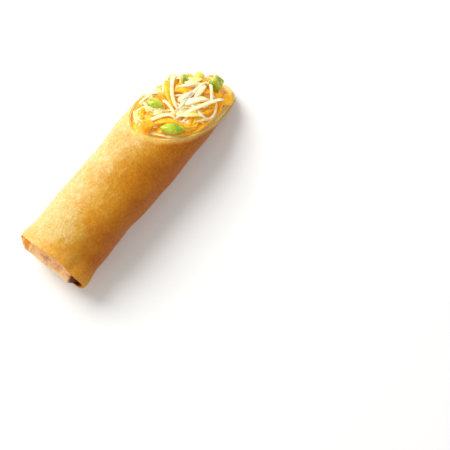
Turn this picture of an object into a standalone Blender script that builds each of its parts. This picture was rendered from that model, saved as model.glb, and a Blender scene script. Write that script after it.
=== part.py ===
# Fried vegetable spring roll, cut open on a slant at one end.
#
# Metres, +Z up. The roll lies along X on a narrow flat strip of its underside, with its folded
# end at -X and its cut end at +X. The origin is under the middle of the roll, on the surface it
# lies on. The pastry is one sheet, rolled up, with one end folded shut; the filling fills it and
# heaps out of the cut, with larger bits of vegetable lying in the heap.
import math

import bmesh
import bpy
from mathutils import Euler, Vector, noise

MM = 0.001

# The rolled pastry: its cross-section, from the folded end to the round body
HALF_WIDTH = 17.5 * MM
END_HALF_WIDTH = 18.9 * MM
RIGHT_SWELL = 0.7 * MM
HALF_HEIGHT = 16.0 * MM
END_HALF_HEIGHT = 12.2 * MM
AXIS_HEIGHT = 15.5 * MM
END_AXIS_HEIGHT = 14.2 * MM
ROUNDNESS = 0.96
END_ROUNDNESS = 1.45
END_LENGTH = 26 * MM
FLARE_LENGTH = 11 * MM
SWELL_START = 34 * MM
SWELL_END = 44 * MM
WALL = 1.8 * MM
GAP = 0.35 * MM

# The slanting cut: where it crosses the axis, and how far it leans along the roll
CUT_MIDDLE = 90.5 * MM
CUT_LEAN = 22 * MM
CUT_SKEW = 7.5 * MM
CUT_WAVE = 0.5 * MM
TONGUE = 3 * MM
TONGUE_ANGLE = 215.0
TONGUE_SPREAD = 20.0

# Small waves of the rolled surface
WOBBLE_TWICE = 0.25 * MM
WOBBLE_THRICE = 0.15 * MM
WOBBLE_LENGTH = 9 * MM
WOBBLE_SHORT_LENGTH = 6 * MM

# The sheet's last corner: a flap whose two edges meet in a tip on the lower right flank
FLAP_STEP = 0.6 * MM
FLAP_TIP_ALONG = 52 * MM
FLAP_HALF_LENGTH = 52 * MM
FLAP_TIP_ANGLE = 203.0
FLAP_FOOT_ANGLE = 262.0
FLAP_EDGE_SPREAD = 2.0
FLAP_FADE = 70.0

# The folded end: a panel turned up from the underside and tucked in behind the upper lip
CORNER_POCKET = 2.6 * MM
POCKET_SPREAD = 13.0
RIGHT_POCKET_ANGLE = 184.0
LEFT_POCKET_ANGLE = 2.0
LEFT_POCKET_SHARE = 0.6
INNER_END = 9.5 * MM

# Rings of the folded end, from its middle to the lip: radius, place along the roll in the upper
# half (tucked in behind the lip) and in the lower half (bulging out), and depth of the pockets
END_RINGS = [
    (0.15, -1.6 * MM, -2.4 * MM, 0.0),
    (0.38, -0.6 * MM, -3.0 * MM, 0.0),
    (0.60, 1.2 * MM, -3.4 * MM, 0.3),
    (0.78, 2.4 * MM, -3.2 * MM, 0.8),
    (0.90, 3.2 * MM, -2.6 * MM, 1.0),
    (0.925, 0.2 * MM, -2.1 * MM, 0.3),
    (0.985, -0.1 * MM, -0.8 * MM, 0.0),
]

# The filling's heap over the cut
HEAP = 3.2 * MM
HEAP_BACK = 7.5 * MM
HEAP_FULLNESS = 8
HEAP_LUMP = 1.8 * MM
HEAP_SET_BACK = 0.5 * MM
LUMP_SIZE = 6 * MM
HEAP_RADII = (0.93, 0.84, 0.73, 0.61, 0.48, 0.35, 0.21, 0.08)

# How finely the pastry is divided
COLUMNS = 44
FLAP_COLUMN = 29
BODY_ROWS = 24
INNER_ROWS = 11
FIRST_ROW_SHARE = 0.008
CLOSING_RADII = (0.7, 0.35)
SHARP_ANGLE = 50
LENGTH = 112 * MM


def mix(first, second, share):
    return first + (second - first) * share


def smoothstep(start, end, value):
    share = min(max((value - start) / (end - start), 0.0), 1.0)
    return share * share * (3.0 - 2.0 * share)


def bell(angle, middle, spread):
    """1 at the middle angle, falling off smoothly on both sides of it (degrees)."""
    away = (angle - middle + 180.0) % 360.0 - 180.0
    return math.exp(-(away / spread) ** 2)


def flap_angle(along):
    """Angle of the flap's edge around the roll: foot, up to the tip, and back to the foot."""
    share = 1.0 - min(abs(along - FLAP_TIP_ALONG) / FLAP_HALF_LENGTH, 1.0)
    return mix(FLAP_FOOT_ANGLE, FLAP_TIP_ANGLE, share)


def column_angles(along):
    """Angles of the lengthwise columns at one place, from 0 on the +Y side over the top.

    Two columns run close together along the flap's edge, one on each side of its step."""
    step = 360.0 / COLUMNS
    first = step * (FLAP_COLUMN - 7)
    middle = step * FLAP_COLUMN
    last = step * (FLAP_COLUMN + 7)
    edge = flap_angle(along)
    angles = []
    for column in range(COLUMNS):
        angle = step * column
        if first < angle <= middle:
            angle = mix(first, edge, (angle - first) / (middle - first))
        elif middle < angle < last:
            angle = mix(edge, last, (angle - middle) / (last - middle))
        angles.append(angle)
        if column == FLAP_COLUMN:
            angles.append(angle + FLAP_EDGE_SPREAD)
    return angles


def flap_height(angle, along):
    """The flap lies on the roll below its edge and fades into the underside."""
    past = angle - flap_angle(along)
    if past < 0.5 * FLAP_EDGE_SPREAD:
        return 0.0
    return FLAP_STEP * (1.0 - smoothstep(0.0, FLAP_FADE, past))


def skin_point(along, angle, inset=0.0):
    """A point on the rolled skin, or inset below it, with the underside pressed flat."""
    body = smoothstep(0.0, END_LENGTH, along)
    flare = smoothstep(0.0, FLARE_LENGTH, along)
    halfWidth = mix(END_HALF_WIDTH, HALF_WIDTH, flare)
    halfHeight = mix(END_HALF_HEIGHT, HALF_HEIGHT, body)
    axis = mix(END_AXIS_HEIGHT, AXIS_HEIGHT, body)
    power = mix(END_ROUNDNESS, ROUNDNESS, body)
    turn = math.radians(angle)
    wobble = WOBBLE_TWICE * math.sin(2.0 * turn + along / WOBBLE_LENGTH)
    wobble += WOBBLE_THRICE * math.sin(3.0 * turn - along / WOBBLE_SHORT_LENGTH)
    reach = wobble - inset
    if math.cos(turn) < 0.0:
        halfWidth += RIGHT_SWELL * smoothstep(SWELL_START, SWELL_END, along)
    y = (halfWidth + reach) * math.cos(turn)
    z = axis + (halfHeight + reach) * math.copysign(abs(math.sin(turn)) ** power, math.sin(turn))
    return Vector((along, y, max(z, inset, 0.0)))


def cut_along(angle):
    """How far along the roll the pastry is cut, at one angle around it."""
    turn = math.radians(angle)
    along = CUT_MIDDLE - CUT_LEAN * math.sin(turn) - CUT_SKEW * math.cos(turn)
    along += CUT_WAVE * math.sin(5.0 * turn) + 0.6 * CUT_WAVE * math.sin(9.0 * turn + 1.0)
    return along + TONGUE * bell(angle, TONGUE_ANGLE, TONGUE_SPREAD)


def cut_plane_along(y, z):
    """Where the cut's plane lies along the roll, over one point of the cross-section."""
    return CUT_MIDDLE - CUT_LEAN * (z - AXIS_HEIGHT) / HALF_HEIGHT - CUT_SKEW * y / HALF_WIDTH


def cut_normal():
    return Vector((1.0, CUT_SKEW / HALF_WIDTH, CUT_LEAN / HALF_HEIGHT)).normalized()


def end_ring(radius, lipAlong, foldAlong, pocket):
    """A ring of the folded end, shrunk towards its middle.

    lipAlong is its place along the roll in the upper half, behind the lip, and foldAlong in
    the lower half, where the sheet is turned up. Both corners can sink into pockets."""
    middle = Vector((0.0, 0.0, END_AXIS_HEIGHT))
    ring = []
    for angle in column_angles(0.0):
        point = middle + radius * (skin_point(0.0, angle) - middle)
        upper = smoothstep(-0.3, 0.4, math.sin(math.radians(angle)))
        corner = bell(angle, RIGHT_POCKET_ANGLE, POCKET_SPREAD)
        corner += LEFT_POCKET_SHARE * bell(angle, LEFT_POCKET_ANGLE, POCKET_SPREAD)
        point.x = mix(foldAlong, lipAlong, upper) + pocket * CORNER_POCKET * corner
        ring.append(point)
    return ring


def body_ring(share):
    ring = []
    for angle in column_angles(share * LENGTH):
        along = share * cut_along(angle)
        ring.append(skin_point(along, angle, -flap_height(angle, share * LENGTH)))
    return ring


def inner_ring(share, inset, start, setBack):
    """A ring under the skin, between a place near the folded end and the cut."""
    ring = []
    for angle in column_angles(share * LENGTH):
        along = mix(start, cut_along(angle) - setBack, share)
        ring.append(skin_point(along, angle, inset))
    return ring


def shrink(ring, radius):
    middle = sum(ring, Vector()) / len(ring)
    return [middle + radius * (point - middle) for point in ring]


def heap_point(radius, angle):
    """A point on the filling's lumpy heap, lifted off the cut's plane.

    The radius is a share of the way from the middle of the cut to its rim."""
    rim = skin_point(cut_along(angle), angle, WALL + GAP)
    y = radius * rim.y
    z = AXIS_HEIGHT + radius * (rim.z - AXIS_HEIGHT)
    place = Vector((cut_plane_along(y, z), y, z))
    back = smoothstep(AXIS_HEIGHT + HALF_HEIGHT, 0.0, z)
    height = (HEAP + HEAP_BACK * back) * (1.0 - radius ** HEAP_FULLNESS) - HEAP_SET_BACK * radius ** 8
    height += HEAP_LUMP * noise.noise(place / LUMP_SIZE) * (1.0 - radius ** 6)
    return place + height * cut_normal()


def heap_ring(radius):
    return [heap_point(radius, angle) for angle in column_angles(LENGTH)]


def material(name, colour, roughness):
    """A plain non-metallic material."""
    made = bpy.data.materials.new(name)
    made.use_nodes = True
    shader = made.node_tree.nodes["Principled BSDF"]
    shader.inputs["Base Color"].default_value = (*colour, 1.0)
    shader.inputs["Roughness"].default_value = roughness
    shader.inputs["Metallic"].default_value = 0.0
    made.diffuse_color = (*colour, 1.0)
    return made


def add_object(name, mesh, collection, parent=None):
    made = bpy.data.objects.new(name, mesh)
    made.parent = parent
    collection.objects.link(made)
    return made


def loft(name, rings, surface, collection, parent):
    """A closed body through rings of equal count, shut by a fan at each end."""
    mesh = bmesh.new()
    loops = []
    for ring in rings:
        loops.append([mesh.verts.new(point) for point in ring])
    for near, far in zip(loops, loops[1:]):
        for column in range(len(near)):
            after = (column + 1) % len(near)
            mesh.faces.new((near[column], near[after], far[after], far[column]))
    for loop in (loops[0], loops[-1]):
        pole = mesh.verts.new(sum((vert.co for vert in loop), Vector()) / len(loop))
        for column in range(len(loop)):
            mesh.faces.new((pole, loop[column], loop[(column + 1) % len(loop)]))
    bmesh.ops.recalc_face_normals(mesh, faces=mesh.faces)
    data = bpy.data.meshes.new(name)
    mesh.to_mesh(data)
    mesh.free()
    data.shade_smooth()
    data.set_sharp_from_angle(angle=math.radians(SHARP_ANGLE))
    data.materials.append(surface)
    return add_object(name, data, collection, parent)


def make_wrapper(surface, collection, parent):
    """The pastry: end panel, lip, skin up to the cut, and the inner wall back to the end."""
    lip = [end_ring(*ring) for ring in END_RINGS]
    skin = []
    for row in range(BODY_ROWS + 1):
        skin.append(body_ring(mix(FIRST_ROW_SHARE, 1.0, row / BODY_ROWS)))
    inside = []
    for row in range(INNER_ROWS + 1):
        inside.append(inner_ring(1.0 - row / INNER_ROWS, WALL, INNER_END, 0.0))
    closing = [shrink(inside[-1], radius) for radius in CLOSING_RADII]
    return loft("wrapper", lip + skin + inside + closing, surface, collection, parent)


def make_filling(surface, collection, parent):
    """One body of packed shreds, from the folded end to the heap over the cut."""
    start = INNER_END + GAP
    sides = []
    for row in range(INNER_ROWS + 1):
        sides.append(inner_ring(row / INNER_ROWS, WALL + GAP, start, HEAP_SET_BACK))
    opening = [shrink(sides[0], radius) for radius in reversed(CLOSING_RADII)]
    heap = [heap_ring(radius) for radius in HEAP_RADII]
    return loft("filling", opening + sides + heap, surface, collection, parent)


# Larger bits of vegetable lying in the heap: name, shape, size, place, turn and colour.
# A place is a share of the way out from the middle of the cut, an angle around it and a height
# of the bit's middle over the heap.
VEGETABLES = [
    ("green_bean_front", "bean", (11.2, 5.6, 4.6), (0.96, 115, 2.2), (-38, 12, -50), "green"),
    ("green_bean_left", "bean", (7.6, 5.2, 4.2), (0.61, 44, 0.6), (-20, -7, -75), "green"),
    ("green_cube_right", "block", (5.6, 5.4, 5.2), (0.69, 223, 2.0), (30, 34, 24), "green"),
    ("green_piece_back", "block", (4.4, 3.6, 3.2), (0.50, 304, 1.4), (20, 40, 45), "green"),
    ("corn_kernel", "bean", (5.2, 4.2, 3.6), (0.64, 273, 1.1), (0, 20, -45), "yellow"),
    ("carrot_chunk_left", "block", (5.6, 4.2, 3.4), (1.02, 79, 4.2), (-6, 34, -18), "orange"),
    ("carrot_chunk_right", "block", (7.0, 5.0, 4.4), (0.93, 206, 0.8), (20, 20, -40), "orange"),
]
BLOCK_EDGE = 0.9 * MM
BEAN_RINGS = 8
BEAN_SEGMENTS = 14


def vegetable_mesh(name, shape, size):
    """A bean slice is a stretched ball, a chunk is a box with softened edges."""
    mesh = bmesh.new()
    if shape == "bean":
        bmesh.ops.create_uvsphere(mesh, u_segments=BEAN_SEGMENTS, v_segments=BEAN_RINGS, radius=0.5)
        turn = Euler((0.0, math.radians(90), 0.0)).to_matrix()
        bmesh.ops.transform(mesh, matrix=turn.to_4x4(), verts=mesh.verts)
    else:
        bmesh.ops.create_cube(mesh, size=1.0)
    bmesh.ops.scale(mesh, vec=size, verts=mesh.verts)
    if shape == "block":
        edges = mesh.edges[:]
        bmesh.ops.bevel(mesh, geom=edges, offset=BLOCK_EDGE, segments=2, profile=0.5, affect="EDGES")
    data = bpy.data.meshes.new(name)
    mesh.to_mesh(data)
    mesh.free()
    data.shade_smooth()
    data.set_sharp_from_angle(angle=math.radians(SHARP_ANGLE))
    return data


def make_vegetable(entry, surfaces, body, collection, cutters, parent):
    """A bit of vegetable, and the hollow it lies in, cut a little larger into the filling."""
    name, shape, size, place, turn, colour = entry
    radius, angle, height = place
    location = heap_point(radius, angle) + height * MM * cut_normal()
    rotation = Euler([math.radians(angle) for angle in turn])
    piece = add_object(name, vegetable_mesh(name, shape, Vector(size) * MM), collection, parent)
    piece.location = location
    piece.rotation_euler = rotation
    piece.data.materials.append(surfaces[colour])
    roomier = Vector(size) * MM + Vector((1.0, 1.0, 1.0)) * 2.0 * GAP
    cutter = add_object(name + "_hollow", vegetable_mesh(name + "_hollow", shape, roomier), cutters, parent)
    cutter.location = location
    cutter.rotation_euler = rotation
    cutter.hide_render = True
    cutter.display_type = "WIRE"
    cut = body.modifiers.new(name, "BOOLEAN")
    cut.operation = "DIFFERENCE"
    cut.object = cutter
    return piece


def box_corners(pieces):
    """The lowest and highest corner of all the pieces together."""
    bpy.context.view_layer.update()
    points = []
    graph = bpy.context.evaluated_depsgraph_get()
    for piece in pieces:
        shape = piece.evaluated_get(graph)
        points += [shape.matrix_world @ vert.co for vert in shape.data.vertices]
    low = Vector([min(point[axis] for point in points) for axis in range(3)])
    high = Vector([max(point[axis] for point in points) for axis in range(3)])
    return low, high


def main():
    for old in list(bpy.data.objects):
        bpy.data.objects.remove(old)
    collection = bpy.data.collections.new("Spring_Roll")
    cutters = bpy.data.collections.new("cutters")
    bpy.context.scene.collection.children.link(collection)
    bpy.context.scene.collection.children.link(cutters)
    surfaces = {
        "pastry": material("pastry", (0.72, 0.43, 0.12), 0.5),
        "filling": material("filling", (0.88, 0.66, 0.30), 0.45),
        "green": material("green", (0.42, 0.50, 0.04), 0.3),
        "yellow": material("yellow", (0.93, 0.72, 0.10), 0.35),
        "orange": material("orange", (0.90, 0.38, 0.03), 0.4),
    }
    root = bpy.data.objects.new("spring_roll_origin", None)
    collection.objects.link(root)
    wrapper = make_wrapper(surfaces["pastry"], collection, root)
    filling = make_filling(surfaces["filling"], collection, root)
    pieces = [wrapper, filling]
    for entry in VEGETABLES:
        pieces.append(make_vegetable(entry, surfaces, filling, collection, cutters, root))
    low, high = box_corners(pieces)
    root.location = (-0.5 * (low.x + high.x), -0.5 * (low.y + high.y), -low.z)


main()
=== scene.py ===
import math
import random

import bpy
from mathutils import Euler, Matrix, Vector, noise


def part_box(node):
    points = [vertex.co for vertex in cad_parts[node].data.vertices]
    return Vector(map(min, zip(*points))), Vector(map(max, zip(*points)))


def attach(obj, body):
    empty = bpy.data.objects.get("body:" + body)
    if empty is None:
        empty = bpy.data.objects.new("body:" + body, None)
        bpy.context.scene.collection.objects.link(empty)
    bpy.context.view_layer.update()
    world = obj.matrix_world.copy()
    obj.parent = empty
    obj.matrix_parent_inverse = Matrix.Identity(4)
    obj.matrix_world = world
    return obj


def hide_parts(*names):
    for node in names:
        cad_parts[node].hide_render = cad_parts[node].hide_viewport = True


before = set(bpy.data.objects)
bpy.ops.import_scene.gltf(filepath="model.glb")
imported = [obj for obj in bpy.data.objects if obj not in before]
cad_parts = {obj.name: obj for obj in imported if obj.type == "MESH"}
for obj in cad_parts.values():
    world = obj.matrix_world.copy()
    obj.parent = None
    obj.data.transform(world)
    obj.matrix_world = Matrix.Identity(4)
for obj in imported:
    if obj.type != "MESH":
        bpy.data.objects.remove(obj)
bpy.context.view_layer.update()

print("frame loaded:", len(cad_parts), "nodes")
noise.seed_set(12)      # noise_vector starts from the clock otherwise

mm = 0.001
wrapperLow, wrapperHigh = (Vector(corner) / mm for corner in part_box("wrapper"))
endBulge = 3.4      # how far the folded end bulges past its lip
lipAt = wrapperLow.x + endBulge
middleAt = 0.5 * (wrapperLow.y + wrapperHigh.y)

# the rolled pastry, in mm; "along" runs from the folded lip to the cut
roll = {
    "halfWidth": 17.5, "endHalfWidth": 18.9, "rightSwell": 0.7, "swellStart": 34.0, "swellEnd": 44.0,
    "halfHeight": 16.0, "endHalfHeight": 12.2,
    "axis": 15.5, "endAxis": 14.2,
    "roundness": 0.96, "endRoundness": 1.45,
    "endLength": 26.0, "flareLength": 11.0,
    "swell": 0.25, "swellEvery": 9.0, "ripple": 0.15, "rippleEvery": 6.0,
    "wall": 2.2,
}
# the slanting cut, with a wavy edge and a tongue at the lower right
cut = {
    "middle": 90.5, "lean": 22.0, "skew": 7.5,
    "wave": 0.5, "waveCount": 5.0, "smallWave": 0.6, "smallWaveCount": 9.0,
    "tongue": 3.0, "tongueAngle": 215.0, "tongueSpread": 20.0,
}
# the sheet's last corner, a thin step on the lower right flank
flap = {
    "step": 0.6, "tipAlong": 52.0, "halfLength": 52.0,
    "tipAngle": 203.0, "footAngle": 262.0, "fade": 70.0, "overlap": 24.0,
}
# how the filling stands out of the cut
heap = {
    "rise": 3.2, "backRise": 7.5, "fullness": 8, "setBack": 0.5, "setBackPower": 8,
    "lump": 1.8, "lumpSize": 6.0, "lumpPower": 6,
}


def mix(first, second, share):
    return first + (second - first) * share


def smooth(start, end, value):
    share = min(max((value - start) / (end - start), 0.0), 1.0)
    return share * share * (3.0 - 2.0 * share)


def bell(angle, middle, spread):
    away = (angle - middle + 180.0) % 360.0 - 180.0
    return math.exp(-(away / spread) ** 2)


def skinPoint(along, angle, inset=0.0):     # a place on the rolled skin, or inset under it
    body = smooth(0.0, roll["endLength"], along)
    flare = smooth(0.0, roll["flareLength"], along)
    halfWidth = mix(roll["endHalfWidth"], roll["halfWidth"], flare)
    halfHeight = mix(roll["endHalfHeight"], roll["halfHeight"], body)
    axis = mix(roll["endAxis"], roll["axis"], body)
    power = mix(roll["endRoundness"], roll["roundness"], body)
    turn = math.radians(angle)
    reach = roll["swell"] * math.sin(2.0 * turn + along / roll["swellEvery"])
    reach += roll["ripple"] * math.sin(3.0 * turn - along / roll["rippleEvery"])
    reach -= inset
    if math.cos(turn) < 0.0:
        halfWidth += roll["rightSwell"] * smooth(roll["swellStart"], roll["swellEnd"], along)
    y = (halfWidth + reach) * math.cos(turn)
    z = axis + (halfHeight + reach) * math.copysign(abs(math.sin(turn)) ** power, math.sin(turn))
    return Vector((along, y, max(z, inset, 0.0)))


def cutAlong(angle):        # how far along the sheet is cut, at one angle round the roll
    turn = math.radians(angle)
    along = cut["middle"] - cut["lean"] * math.sin(turn) - cut["skew"] * math.cos(turn)
    waves = math.sin(cut["waveCount"] * turn)
    waves += cut["smallWave"] * math.sin(cut["smallWaveCount"] * turn + 1.0)
    along += cut["wave"] * waves
    return along + cut["tongue"] * bell(angle, cut["tongueAngle"], cut["tongueSpread"])


def flapAngle(along):       # the angle at which the sheet's last edge lies
    share = 1.0 - min(abs(along - flap["tipAlong"]) / flap["halfLength"], 1.0)
    return mix(flap["footAngle"], flap["tipAngle"], share)


def cutNormal():            # the way the cut faces
    return Vector((1.0, cut["skew"] / roll["halfWidth"], cut["lean"] / roll["halfHeight"])).normalized()


def heapPoint(radius, angle, lift=0.0):     # a place on the heaped filling, radius 1 at the rim
    rim = skinPoint(cutAlong(angle), angle, roll["wall"])
    y = radius * rim.y
    z = roll["axis"] + radius * (rim.z - roll["axis"])
    x = cut["middle"] - cut["lean"] * (z - roll["axis"]) / roll["halfHeight"]
    x -= cut["skew"] * y / roll["halfWidth"]
    place = Vector((x, y, z))
    back = smooth(roll["axis"] + roll["halfHeight"], 0.0, z)
    height = (heap["rise"] + heap["backRise"] * back) * (1.0 - radius ** heap["fullness"])
    height -= heap["setBack"] * radius ** heap["setBackPower"]
    height += heap["lump"] * noise.noise(place / heap["lumpSize"]) * (1.0 - radius ** heap["lumpPower"])
    return place + (height + lift) * cutNormal()


def toScene(place):         # mm along the roll to metres in the frame
    return Vector((place.x + lipAt, place.y + middleAt, place.z)) * mm


def deselect():
    if bpy.context.object and bpy.context.object.mode != "OBJECT":
        bpy.ops.object.mode_set(mode="OBJECT")
    bpy.ops.object.select_all(action="DESELECT")


def pick(obj):
    deselect()
    obj.select_set(True)
    bpy.context.view_layer.objects.active = obj


def applyAll(obj):
    pick(obj)
    for modifier in list(obj.modifiers):
        bpy.ops.object.modifier_apply(modifier=modifier.name)


def closeMesh(obj):     # weld doubles, then turn the faces outwards
    pick(obj)
    bpy.ops.object.mode_set(mode="EDIT")
    bpy.ops.mesh.select_all(action="SELECT")
    bpy.ops.mesh.remove_doubles(threshold=0.01 * mm)
    bpy.ops.mesh.normals_make_consistent(inside=False)
    bpy.ops.object.mode_set(mode="OBJECT")


def finishPiece(obj, name, materials, slot, *nodes):
    pick(obj)
    bpy.ops.object.transform_apply(location=True, rotation=True, scale=True)
    bpy.ops.object.shade_smooth()
    obj.name = name
    obj.data.name = name
    obj.data.materials.clear()
    for material in materials if isinstance(materials, list) else [materials]:
        obj.data.materials.append(material)
    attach(obj, "root")
    if nodes:
        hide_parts(*nodes)
    print("piece", name, len(obj.data.polygons), "faces")
    return obj


def joinPieces(objects):
    deselect()
    for obj in objects:
        obj.select_set(True)
    bpy.context.view_layer.objects.active = objects[0]
    bpy.ops.object.join()
    return bpy.context.object


# materials: small node helpers and the shared group first, then one material for each finish
def link(tree, source, target):
    tree.links.new(source, target)


def mathNode(tree, operation, first, second):
    node = tree.nodes.new("ShaderNodeMath")
    node.operation = operation
    for index, value in enumerate((first, second)):
        if isinstance(value, (int, float)):
            node.inputs[index].default_value = value
        else:
            link(tree, value, node.inputs[index])
    return node.outputs[0]


def weighted(tree, first, second, shares):      # the sum of two values, each scaled
    first = mathNode(tree, "MULTIPLY", first, shares[0])
    second = mathNode(tree, "MULTIPLY", second, shares[1])
    return mathNode(tree, "ADD", first, second)


def axes(tree, place):      # the three coordinates of a place
    split = tree.nodes.new("ShaderNodeSeparateXYZ")
    link(tree, place, split.inputs[0])
    return split.outputs


def noiseNode(tree, vector, scale, detail, rough, distortion=0.0):
    node = tree.nodes.new("ShaderNodeTexNoise")
    node.inputs["Scale"].default_value = scale
    node.inputs["Detail"].default_value = detail
    node.inputs["Roughness"].default_value = rough
    node.inputs["Distortion"].default_value = distortion
    link(tree, vector, node.inputs["Vector"])
    return node.outputs["Fac"]


def rangeNode(tree, value, low, high, toLow=0.0, toHigh=1.0):
    node = tree.nodes.new("ShaderNodeMapRange")
    node.interpolation_type = "SMOOTHSTEP"
    node.inputs["From Min"].default_value = low
    node.inputs["From Max"].default_value = high
    node.inputs["To Min"].default_value = toLow
    node.inputs["To Max"].default_value = toHigh
    link(tree, value, node.inputs["Value"])
    return node.outputs["Result"]


def mixColour(tree, factor, first, second, blend="MIX"):
    node = tree.nodes.new("ShaderNodeMix")
    node.data_type = "RGBA"
    node.blend_type = blend
    for index, value in ((0, factor), (6, first), (7, second)):
        if isinstance(value, (int, float)):
            node.inputs[index].default_value = value
        elif isinstance(value, tuple):
            node.inputs[index].default_value = (*value, 1.0)
        else:
            link(tree, value, node.inputs[index])
    return node.outputs[2]


def rampNode(tree, value, stops):
    node = tree.nodes.new("ShaderNodeValToRGB")
    ramp = node.color_ramp
    ramp.interpolation = "EASE"
    while len(ramp.elements) < len(stops):
        ramp.elements.new(0.5)
    for element, (place, colour) in zip(ramp.elements, stops):
        element.position = place
        element.color = (*colour, 1.0)
    link(tree, value, node.inputs["Fac"])
    return node.outputs["Color"]


# each noise: scale, detail, roughness, distortion; each range: where it starts and where it is full
mottle = {
    "broad": (85.0, 3.0, 0.5, 0.4), "medium": (260.0, 4.0, 0.6, 0.3),
    "fine": (950.0, 3.0, 0.6), "tiny": (3000.0, 2.0, 0.5),
    "spots": (430.0, 2.0, 0.5, 0.6), "blisters": (380.0, 3.0, 0.6, 1.2),
    "patchRange": (0.36, 0.64), "spotRange": (0.60, 0.74),
    "blisterRange": (0.52, 0.66), "grainRange": (0.32, 0.68),
    "patchShares": (0.62, 0.38), "grainShares": (0.55, 0.45), "heightShares": (1.2, 0.55),
}


def mottleGroup():          # patches, spots, blisters and fine grain of fried dough
    group = bpy.data.node_groups.new("friedMottle", "ShaderNodeTree")
    group.interface.new_socket(name="Place", in_out="INPUT", socket_type="NodeSocketVector")
    for name in ("Patch", "Spots", "Blisters", "Grain", "Height"):
        group.interface.new_socket(name=name, in_out="OUTPUT", socket_type="NodeSocketFloat")
    place = group.nodes.new("NodeGroupInput").outputs["Place"]
    leave = group.nodes.new("NodeGroupOutput")
    broad = noiseNode(group, place, *mottle["broad"])
    medium = noiseNode(group, place, *mottle["medium"])
    fine = noiseNode(group, place, *mottle["fine"])
    tiny = noiseNode(group, place, *mottle["tiny"])
    patch = weighted(group, broad, medium, mottle["patchShares"])
    link(group, rangeNode(group, patch, *mottle["patchRange"]), leave.inputs["Patch"])
    spots = noiseNode(group, place, *mottle["spots"])
    link(group, rangeNode(group, spots, *mottle["spotRange"]), leave.inputs["Spots"])
    blisters = noiseNode(group, place, *mottle["blisters"])
    link(group, rangeNode(group, blisters, *mottle["blisterRange"]), leave.inputs["Blisters"])
    grain = weighted(group, fine, tiny, mottle["grainShares"])
    link(group, rangeNode(group, grain, *mottle["grainRange"]), leave.inputs["Grain"])
    link(group, weighted(group, medium, grain, mottle["heightShares"]), leave.inputs["Height"])
    return group


def startMaterial(name, roughness, specular=0.5):
    material = bpy.data.materials.new(name)
    material.use_nodes = True
    tree = material.node_tree
    shader = tree.nodes["Principled BSDF"]
    shader.inputs["Roughness"].default_value = roughness
    shader.inputs["Specular IOR Level"].default_value = specular
    place = tree.nodes.new("ShaderNodeTexCoord").outputs["Object"]
    return material, tree, shader, place


def attribute(tree, name):      # a number stored on the mesh's own points
    node = tree.nodes.new("ShaderNodeAttribute")
    node.attribute_name = name
    return node.outputs["Fac"]


def addBump(tree, shader, height, distance):
    bump = tree.nodes.new("ShaderNodeBump")
    bump.inputs["Strength"].default_value = 1.0
    bump.inputs["Distance"].default_value = distance
    link(tree, height, bump.inputs["Height"])
    link(tree, bump.outputs["Normal"], shader.inputs["Normal"])


def addMottle(tree, group, place):
    node = tree.nodes.new("ShaderNodeGroup")
    node.node_tree = group
    link(tree, place, node.inputs["Place"])
    return node.outputs


def addGrain(tree, shader, fried, colour, shades):      # fine light and dark grain over a colour
    grain = rampNode(tree, fried["Grain"], list(enumerate(shades)))
    colour = mixColour(tree, 1.0, colour, grain, "MULTIPLY")
    link(tree, colour, shader.inputs["Base Color"])


def soften(shader, weight, radius):     # light that goes a little way into the food
    shader.inputs["Subsurface Weight"].default_value = weight
    shader.inputs["Subsurface Radius"].default_value = radius
    shader.inputs["Subsurface Scale"].default_value = 1.0


# browning and painted shade run across the roll and downwards, from the pale flank facing the key light to
# the browned flank in shade; paler again near the bottom
crust = {
    "bands": [
        (0.0, (0.74, 0.54, 0.22)), (0.12, (0.66, 0.43, 0.120)), (0.24, (0.61, 0.325, 0.040)),
        (0.42, (0.57, 0.240, 0.014)), (0.62, (0.52, 0.182, 0.006)), (1.0, (0.42, 0.112, 0.002)),
    ],
    "across": -44.0, "down": -20.0, "downFrom": 0.022, "browningAndShadeRange": (-0.85, 1.0),
    "underRange": (0.014, 0.003), "underPaler": 0.55,
    "wander": 0.34, "endPaler": 0.16, "endBetween": (40.0, 6.0),
    "lip": (0.82, 0.40, 0.050), "lipLength": 12.0, "lipShare": 0.55,
    "spot": (0.42, 0.15, 0.02), "spotShare": 0.22,
    "blister": (0.84, 0.62, 0.32), "blisterFade": (0.1, 0.5, 0.42, 0.0), "blistersAbove": (0.008, 0.014),
    "edge": (0.88, 0.64, 0.17), "edgeShare": 0.6,
    "grain": [(0.86, 0.80, 0.68), (1.11, 1.13, 1.20)], "grainDepth": 0.00016,
    "roughness": 0.42, "roughSpread": 0.18, "specular": 0.16,
    "soft": 0.12, "softRadius": (0.0020, 0.0010, 0.0004),
}


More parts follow.
